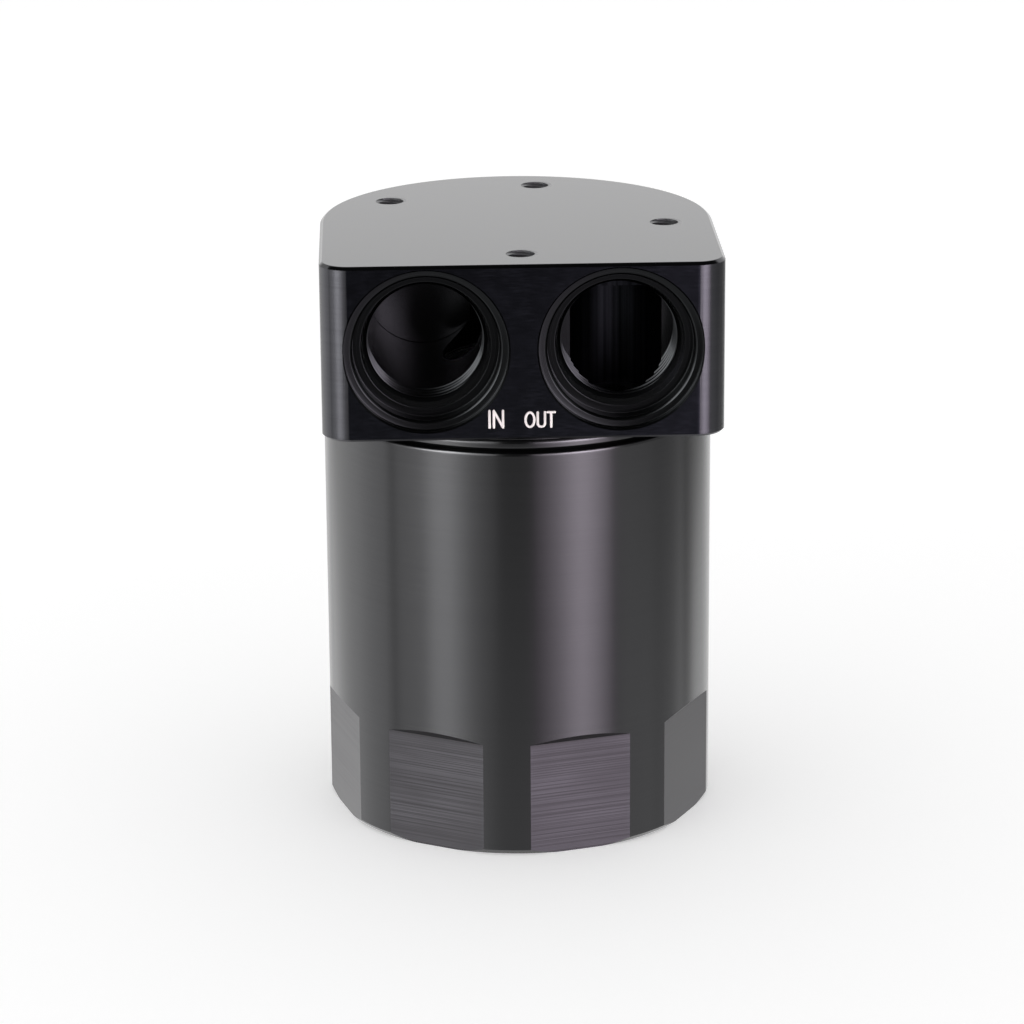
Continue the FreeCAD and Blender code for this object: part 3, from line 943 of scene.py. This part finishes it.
def machined(name, dark, pale, grain, bump, roughness, patches=None, metallic=1.0, aniso=0.0,
             axis=None, blur=SOFT_LINES):
    """Machined metal with stretched tool marks; grain, patches and bump are in millimetres."""
    material, tree = new_material(name)
    place = add_node(tree, "ShaderNodeTexCoord").outputs["Object"]
    if axis is not None:
        place = ring_place(tree, place, axis)
    noises = []
    for lengths in (grain, patches or grain):
        scaled = add_node(tree, "ShaderNodeMapping", None, {
            "Vector": place, "Scale": [1 / (length * MM) for length in lengths]})
        noises.append(add_node(tree, "ShaderNodeTexNoise", None, {
            "Vector": scaled.outputs[0], "Scale": 1.0,
            "Detail": NOISE_DETAIL, "Roughness": NOISE_ROUGHNESS}))
    lines = add_node(tree, "ShaderNodeMapRange", None, {
        "Value": noises[0].outputs[0], "From Min": 0.5 - blur, "From Max": 0.5 + blur})
    share = add_node(tree, "ShaderNodeMapRange", None, {
        "Value": noises[1].outputs[0], "From Min": PATCH_FROM, "From Max": PATCH_TO,
        "To Min": FAINTEST if patches else 1.0, "To Max": 1.0})
    height = add_node(tree, "ShaderNodeMath", {"operation": "MULTIPLY"}, {
        0: lines.outputs[0], 1: share.outputs[0]}).outputs[0]
    tone = add_node(tree, "ShaderNodeMix", {"data_type": "RGBA"}, {
        "Factor": height, MIX_FIRST: colour(dark), MIX_SECOND: colour(pale)})
    rough = add_node(tree, "ShaderNodeMapRange", None, {
        "Value": height, "To Min": roughness[0], "To Max": roughness[1]})
    relief = add_node(tree, "ShaderNodeBump", None, {
        "Height": height, "Strength": 1.0, "Distance": bump * MM})
    shader = add_node(tree, "ShaderNodeBsdfPrincipled", None, {
        "Base Color": tone.outputs[MIX_RESULT], "Roughness": rough.outputs[0],
        "Normal": relief.outputs[0], "Metallic": metallic})
    if aniso:
        across = add_node(tree, "ShaderNodeTangent", {"direction_type": "RADIAL", "axis": "Z"})
        shader.inputs["Anisotropic"].default_value = aniso
        shader.inputs["Anisotropic Rotation"].default_value = QUARTER_TURN
        tree.links.new(across.outputs[0], shader.inputs["Tangent"])
    output = add_node(tree, "ShaderNodeOutputMaterial")
    tree.links.new(shader.outputs[0], output.inputs["Surface"])
    return material


# %% [markdown]
# Black anodising is a clear, hard oxide grown on the aluminium and dyed black. It keeps the tool
# marks under it, mirrors little from straight on and a lot at a grazing angle, with a hint of
# purple that the dye gives. A dark metallic colour does both, at the shader's own IOR.
# What differs from face to face is the tool, so each kind of face gets its own marks, and the
# front's colour is painted darker, as painted shade. A real feed is about a tenth of a
# millimetre, too fine to show in a picture of the whole can, so its lines are drawn two to three
# times as coarse.

# %% Black anodised aluminium, the outer faces
# Lathe rings under the black: satin, with highlights drawn out into upright bands.
black_turned = machined(
    "black anodised aluminium, turned", "#3a3a3b", "#3e3e3f",
    (LONG, LONG, 0.3), 0.0006, (0.21, 0.245), aniso=0.82)
# A coarse feed: level lines that catch the light one by one and make the flats look greyer.
black_flats = machined(
    "black anodised aluminium, coarsely milled flats", "#333234", "#424144",
    (150.0, 150.0, 0.24), 0.0045, (0.32, 0.4), patches=(25.0, 25.0, 9.0), aniso=0.3, blur=0.1)
# The side of an end mill: nearly as fine as the turned wall, and a little bluer.
black_sides = machined(
    "black anodised aluminium, side-milled", "#39393c", "#3f3f42",
    (LONG, LONG, 0.3), 0.0006, (0.21, 0.25), aniso=0.8)
# A fly cutter: short, faint marks that cloud the front a little; its colour is painted darker
# than the sides', painted shade where the front faces the dark camera side.
black_front_painted_shade = machined(
    "black anodised aluminium, fly-cut front", "#24252a", "#292a30",
    (2.5, 2.5, 0.2), 0.0003, (0.2, 0.25), patches=(3.0, 3.0, 3.0))
# Lapped flat: no lines are left, and it mirrors the light behind it most clearly of all.
black_top = machined(
    "black anodised aluminium, lapped top", "#3a3a3c", "#3c3c3e",
    (0.6, 0.6, 0.6), 0.00005, (0.13, 0.15))
print("materials in the file", len(bpy.data.materials))

# %% [markdown]
# Inside the holes the anodising is the same black, but light has to find its way in, and what
# comes back out depends on the marks even more. The colours differ too: the port mouths and the
# pocket are painted darker, as painted shade, and the seat and the tapped threads paler, as
# painted light. The engraved letters are cut after the anodising, so they are bare metal.

# %% Black anodised aluminium, inside the holes, and the bare letters
# A boring bar: rings a third of a millimetre apart along the bore.
black_bored = machined(
    "black anodised aluminium, bored", "#2c2d2f", "#353537",
    (LONG, 0.35, LONG), 0.001, (0.18, 0.26), metallic=0.9)
# The port's steps: fine rings round its own axis, in a colour painted darker than the outer
# black, as painted shade in the mouth.
black_port_painted_shade = machined(
    "black anodised aluminium, port-cut", "#141516", "#232425",
    (0.22, 0.3, LONG), 0.0008, (0.2, 0.26), metallic=0.95, axis=outlet)
# The reamed seat has to seal: the same rings, in a paler colour, a painted highlight on the seat.
black_seat_painted_light = machined(
    "black anodised aluminium, reamed seat", "#4c4d4f", "#606163",
    (0.3, 0.35, LONG), 0.0008, (0.2, 0.26), metallic=0.85, axis=outlet)
# A plunging mill: upright streaks down the pocket's wall, in a colour near black, painted shade
# deep in the pocket.
black_pocket_painted_shade = machined(
    "black anodised aluminium, plunge-milled pocket", "#0c0d0f", "#1c1d20",
    (0.9, 0.9, LONG), 0.003, (0.3, 0.38))
# A tap tears the metal a little, which the rougher finish gives; the flanks are painted dull
# grey, paler than the black around them, as painted light that shows the thread in a small hole.
black_tapped_painted_light = machined(
    "black anodised aluminium, tapped", "#666668", "#767678",
    (0.3, 0.3, 0.3), 0.002, (0.3, 0.42), metallic=0.7)
# The engraving cutter's floor: bare, dull and pale.
bare_engraved = machined(
    "bare aluminium, engraved", "#a9a5a2", "#bdbab7",
    (0.3, 0.3, 0.3), 0.01, (0.6, 0.8))
print("materials in the file", len(bpy.data.materials))

# %% [markdown]
# A piece gets its materials in the order of its faces' numbers. Clearing the old ones sets every
# number back to zero, so the numbers are noted first and written again afterwards.

# %% Dress the head, the cup and the threads
def dressed(piece, *materials):
    """Give a piece its materials, one for each slot number."""
    numbers = [face.material_index for face in piece.data.polygons]
    piece.data.materials.clear()
    for material in materials:
        piece.data.materials.append(material)
    for face, number in zip(piece.data.polygons, numbers):
        face.material_index = number


# The front, port, pocket, seat and tapped finishes carry painted shade and painted light.
dressed(head, black_sides, black_top, black_bored, black_turned, bare_engraved, black_front_painted_shade,
        black_port_painted_shade, black_pocket_painted_shade, black_tapped_painted_light, black_seat_painted_light)
dressed(cup, black_turned, black_flats, black_bored)
# The port threads carry the ports' painted shade, the tapped threads the tapped holes' painted
# light.
for ridge in port_ridges:
    dressed(ridge, black_port_painted_shade)
for ridge in (neck_ridge, cup_ridge):
    dressed(ridge, black_bored)
for ridge in tapped_ridges:
    dressed(ridge, black_tapped_painted_light)
print("finishes on the head", len(head.data.materials), "on the cup", len(cup.data.materials))

# %% [markdown]
# The pieces inside are hardly seen, but they are real and get real finishes: bare turned
# aluminium, punched stainless sheet, stainless screws, knitted wire and nitrile rubber.

# %% Finishes of the inner pieces
# Bare metal from the lathe: bright, with rings.
bare_turned = machined(
    "bare aluminium, turned", "#c4c5c7", "#d4d5d6", (LONG, LONG, 0.3), 0.002, (0.25, 0.35))
# Rolled sheet: fine straight lines along the roll, a little yellower than aluminium.
stainless_sheet = machined(
    "stainless steel, rolled and punched", "#a9a8a5", "#b9b8b5", (30.0, 0.25, 0.25), 0.001,
    (0.28, 0.4))
# Cold-headed screws: smooth, with hardly a mark.
stainless_plain = machined(
    "stainless steel, cold headed", "#a5a4a2", "#b4b3b1", (0.5, 0.5, 0.5), 0.002, (0.22, 0.34))
# The pad is one solid ring, so deep bumps half a millimetre across stand for its wires.
wire = machined(
    "stainless steel, knitted wire", "#8d8c8a", "#c4c3c1", (0.5, 0.5, 0.25), 0.2, (0.3, 0.5))
# Moulded rubber: matt and almost black.
rubber = machined(
    "nitrile rubber, moulded", "#141414", "#1b1b1b", (0.4, 0.4, 0.4), 0.004, (0.55, 0.7),
    metallic=0.0)

dressed(seal, rubber)
for name, part in frame["nodes"].items():
    if name.startswith(("pillar", "spacer", "drop_tube")):
        dressed(part, bare_turned)
    elif name.endswith("_plate"):
        dressed(part, stainless_sheet)
    elif name.startswith(("washer", "screw")):
        dressed(part, stainless_plain)
    elif name == "mesh_pad":
        dressed(part, wire)
print("materials in the file", len(bpy.data.materials))

# %% [markdown]
# The camera stands where the photographer's did. Its angles, distance and lens were worked out
# once from the outline of the can, and it looks at a point near the main axis.

# %% Camera
CAMERA_AZIMUTH = -1.926
CAMERA_ELEVATION = 17.333
CAMERA_ROLL = -0.432
CAMERA_DISTANCE = 811.818 * MM
CAMERA_AIM = Vector((-1.197, 0, 58.103)) * MM
CAMERA_LENS = 143.42


def direction(azimuth, elevation):
    """Unit vector from the can; azimuth 0 is the front, and it grows toward +X."""
    turn = math.radians(azimuth)
    rise = math.radians(elevation)
    return Vector((
        math.sin(turn) * math.cos(rise), -math.cos(turn) * math.cos(rise), math.sin(rise)))


back = direction(CAMERA_AZIMUTH, CAMERA_ELEVATION)
bpy.ops.object.camera_add(location=CAMERA_AIM + back * CAMERA_DISTANCE)
camera = bpy.context.object
camera.rotation_mode = "QUATERNION"
roll = Quaternion((0, 0, 1), math.radians(CAMERA_ROLL))
camera.rotation_quaternion = (-back).to_track_quat("-Z", "Y") @ roll
camera.data.lens = CAMERA_LENS
bpy.context.scene.camera = camera
print("camera at mm", [round(value / MM, 1) for value in camera.location])

# %% [markdown]
# A pale floor and a white room. The room's light is plain, and where the camera or a reflection
# meets it, it is simply white. The floor keeps the can's soft shadow. Reflections pass through
# the floor to the white room, so that the can's walls don't mirror the floor's edge.

# %% Floor and room
ROOM_LIGHT = 0.75
FLOOR_GLOW = 0.3
FLOOR_RADIUS = 3.0
FLOOR_SIDES = 64


def seen_directly(tree):
    """Socket that is 1 for camera, glossy and transmission rays, and 0 for the rest."""
    path = add_node(tree, "ShaderNodeLightPath").outputs
    first = add_node(tree, "ShaderNodeMath", {"operation": "MAXIMUM"}, {
        0: path["Is Camera Ray"], 1: path["Is Glossy Ray"]})
    return add_node(tree, "ShaderNodeMath", {"operation": "MAXIMUM"}, {
        0: first.outputs[0], 1: path["Is Transmission Ray"]}).outputs[0]


world = bpy.data.worlds.new("white_room")
world.use_nodes = True
bpy.context.scene.world = world
world.node_tree.nodes.clear()
level = add_node(world.node_tree, "ShaderNodeMapRange", None, {
    "Value": seen_directly(world.node_tree), "To Min": ROOM_LIGHT, "To Max": 1.0})
room = add_node(world.node_tree, "ShaderNodeBackground", None, {
    "Color": colour("#ffffff"), "Strength": level.outputs[0]})
room_out = add_node(world.node_tree, "ShaderNodeOutputWorld")
world.node_tree.links.new(room.outputs[0], room_out.inputs["Surface"])

paper, tree = new_material("white paper, matt")
glow = add_node(tree, "ShaderNodeMath", {"operation": "MULTIPLY"}, {
    0: seen_directly(tree), 1: FLOOR_GLOW})
sheet = add_node(tree, "ShaderNodeBsdfPrincipled", None, {
    "Base Color": colour("#f2f2f2"), "Roughness": 0.9,
    "Emission Color": colour("#ffffff"), "Emission Strength": glow.outputs[0]})
paper_out = add_node(tree, "ShaderNodeOutputMaterial")
tree.links.new(sheet.outputs[0], paper_out.inputs["Surface"])
bpy.ops.mesh.primitive_circle_add(
    vertices=FLOOR_SIDES, radius=FLOOR_RADIUS, fill_type="NGON")
floor = bpy.context.object
floor.name = "floor"
floor.data.materials.append(paper)
floor.visible_glossy = False
floor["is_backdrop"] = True
print("floor radius m", FLOOR_RADIUS, "room light", ROOM_LIGHT)

# %% [markdown]
# Black metal shows its surroundings more than itself. The reflections in the photograph tell of
# two softboxes, left and right of the camera, a dark ceiling and a dark camera side, and a large
# soft light behind. Each is a panel here, upright except for the ceiling, and seen by
# reflections only, so that plain colours keep the room's even light. An upright panel spans two
# elevations as seen from the can, and its levels are given by azimuth, because the cup mirrors
# them as upright bands.

# %% Helpers for the studio panels
STUDIO_DISTANCE = 1.0


def seen_in_reflections(plane, light):
    """Make a stage plane glow, for reflections only."""
    plane.data.materials.append(light)
    plane.visible_camera = False
    plane.visible_diffuse = False
    plane.visible_shadow = False
    plane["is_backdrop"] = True


def glowing(name, levels, tint):
    """Emission whose level follows (place, level) stops across a plane, from 0 to 1."""
    material, tree = new_material(name)
    across = add_node(tree, "ShaderNodeTexCoord").outputs["Generated"]
    split = add_node(tree, "ShaderNodeSeparateXYZ", None, {"Vector": across})
    ramp = add_node(tree, "ShaderNodeValToRGB", None, {"Fac": split.outputs["X"]})
    stops = ramp.color_ramp.elements
    for place, level in levels[1:-1]:
        stops.new(place)
    top = max(level for place, level in levels)
    for stop, (place, level) in zip(stops, levels):
        stop.color = [level / top * channel for channel in colour(tint)[:3]] + [1]
    light = add_node(tree, "ShaderNodeEmission", None, {
        "Color": ramp.outputs["Color"], "Strength": top})
    output = add_node(tree, "ShaderNodeOutputMaterial")
    tree.links.new(light.outputs[0], output.inputs["Surface"])
    return material


def panel(name, low, high, levels, gain=1.0, tint="#ffffff"):
    """Upright panel between two elevations; levels are (azimuth, level) pairs in order."""
    first, last = levels[0][0], levels[-1][0]
    middle = (first + last) / 2
    reach = math.tan(math.radians((last - first) / 2))
    bottom, top = [math.tan(math.radians(angle)) for angle in (low, high)]
    bpy.ops.mesh.primitive_plane_add(size=2)
    plane = bpy.context.object
    plane.name = name
    plane.scale = (reach * STUDIO_DISTANCE, (top - bottom) / 2 * STUDIO_DISTANCE, 1)
    plane.location = direction(middle, 0) * STUDIO_DISTANCE
    plane.location.z = block_top / 2 + (top + bottom) / 2 * STUDIO_DISTANCE
    plane.rotation_euler = (math.radians(90), 0, math.radians(middle + 180))
    stops = []
    for azimuth, level in levels:
        aside = math.tan(math.radians(azimuth - middle)) / reach
        stops.append(((1 - aside) / 2, level * gain))
    seen_in_reflections(plane, glowing(name, stops[::-1], tint))


# %% [markdown]
# Seen from 17 degrees above, an upright wall mirrors what lies 15 to 20 degrees below the level,
# and in a studio that is the table, lit by the softboxes over it. So most of the light that
# shapes the cup comes from the table's panels. They have a near and a far tier: the flats at the
# foot mirror the near one, and the wall above them mostly the far one. The softboxes themselves
# are mirrored only by rounded edges and by the seats in the ports.

# %% Place the studio panels
BELOW_TABLE = -55
BELOW_WALL = -45
NEAR_TABLE = -18.3
BEYOND_TABLE = -15.5
BACK_LIGHT_FROM = 3
BACK_LIGHT_TO = 61
CEILING_FROM = 50
CEILING_HALF = (1.3, 0.8, 1)
CEILING_Y = -0.25
CEILING_LEVEL = 0.05
WALL_TOP = 45
DARK_GAIN = 0.04
NEAR_LEFT = [
    (-78, 1.6), (-68, 1.55), (-60, 1.55), (-52, 2.75), (-44, 2.9), (-36, 2.2), (-29, 1.6),
    (-21, 1.2), (-14, 1.0)]
FAR_LEFT = [
    (-78, 1.6), (-68, 1.55), (-60, 1.4), (-52, 2.5), (-44, 2.65), (-36, 1.7), (-29, 0.9),
    (-21, 0.55), (-14, 0.35)]
BOX_LEFT = [(-78, 0.5), (-68, 0.5), (-63, 1.5)] + FAR_LEFT[3:]
NEAR_RIGHT = [
    (7, 0.9), (13, 1.25), (22, 1.9), (27, 2.5), (35, 3.3), (43, 2.7), (52, 1.5), (57, 0.9)]
FAR_RIGHT = [
    (7, 0.55), (13, 1.1), (22, 2.3), (27, 3.3), (35, 4.5), (43, 3.5), (52, 2.0), (55, 0.8),
    (57, 0.4)]
for side, near_levels, far_levels, box_levels, tint, top, gain in (
        ("left", NEAR_LEFT, FAR_LEFT, BOX_LEFT, "#ffffff", 40, 6.0),
        ("right", NEAR_RIGHT, FAR_RIGHT, FAR_RIGHT, "#fff4ff", 25, 4.0)):
    panel("near_table_" + side, BELOW_TABLE, NEAR_TABLE, near_levels, 1.0, tint)
    panel("far_table_" + side, NEAR_TABLE, 0, far_levels, 1.0, tint)
    panel("softbox_" + side, 0, top, box_levels, gain, tint)
    panel("dark_above_" + side, top, CEILING_FROM, far_levels, DARK_GAIN, tint)
panel("near_table_camera_side", BELOW_TABLE, NEAR_TABLE, [(-14, 1.1), (7, 1.1)])
panel("far_table_camera_side", NEAR_TABLE, BEYOND_TABLE, [(-14, 0.35), (-7, 0.3), (7, 0.35)])
panel("dark_camera_side", BEYOND_TABLE, CEILING_FROM, [(-14, 0.08), (7, 0.08)])
panel("near_wall_left", BELOW_WALL, NEAR_TABLE, [
    (-150, 1.35), (-140, 1.5), (-125, 1.7), (-111, 2.0), (-94, 1.85), (-84, 1.75)])
panel("wall_left", NEAR_TABLE, WALL_TOP, [
    (-150, 0.85), (-140, 0.9), (-125, 1.5), (-111, 2.0), (-94, 1.85), (-84, 1.7)])
panel("near_wall_right", BELOW_WALL, NEAR_TABLE, [
    (60, 1.0), (64, 1.3), (71, 1.3), (82, 1.35), (90, 1.1), (103, 1.2), (111, 1.8), (116, 0.9),
    (122, 1.2), (127, 1.75), (134, 1.6), (142, 1.1), (150, 1.1)])
panel("far_wall_right", NEAR_TABLE, BEYOND_TABLE, [
    (60, 0.4), (64, 1.2), (71, 1.3), (82, 1.2), (90, 0.95), (103, 0.9), (111, 1.1), (116, 0.1),
    (122, 0.05), (127, 0.1), (134, 0.15), (142, 0.3), (150, 0.35)])
panel("dark_right", BEYOND_TABLE, BACK_LIGHT_FROM, [(60, 0.4), (150, 0.3)])
panel("softbox_back", BACK_LIGHT_FROM, BACK_LIGHT_TO, [
    (120, 2.2), (150, 1.33), (210, 1.33), (240, 2.2)])

bpy.ops.mesh.primitive_plane_add(size=2)
ceiling = bpy.context.object
ceiling.name = "dark_ceiling"
ceiling.scale = CEILING_HALF
ceiling_rise = math.tan(math.radians(CEILING_FROM)) * STUDIO_DISTANCE
ceiling.location = (0, CEILING_Y, ceiling_rise + block_top / 2)
ceiling_levels = [(0, CEILING_LEVEL), (1, CEILING_LEVEL)]
seen_in_reflections(ceiling, glowing("dark_ceiling", ceiling_levels, "#ffffff"))

# %% [markdown]
# The last cell prints the two boxes side by side: the packed parts' and the dressed can's.
# Nothing here may grow past the parts.

# %% Print the sizes and finish
bpy.context.scene.view_settings.view_transform = "Standard"
dressed_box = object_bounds()
sizes = {
    "cad": [list(corner) for corner in cad_box],
    "visual": [list(corner) for corner in dressed_box],
}
for name, box in sizes.items():
    print(name, "box mm", [[round(value / MM, 3) for value in corner] for corner in box])
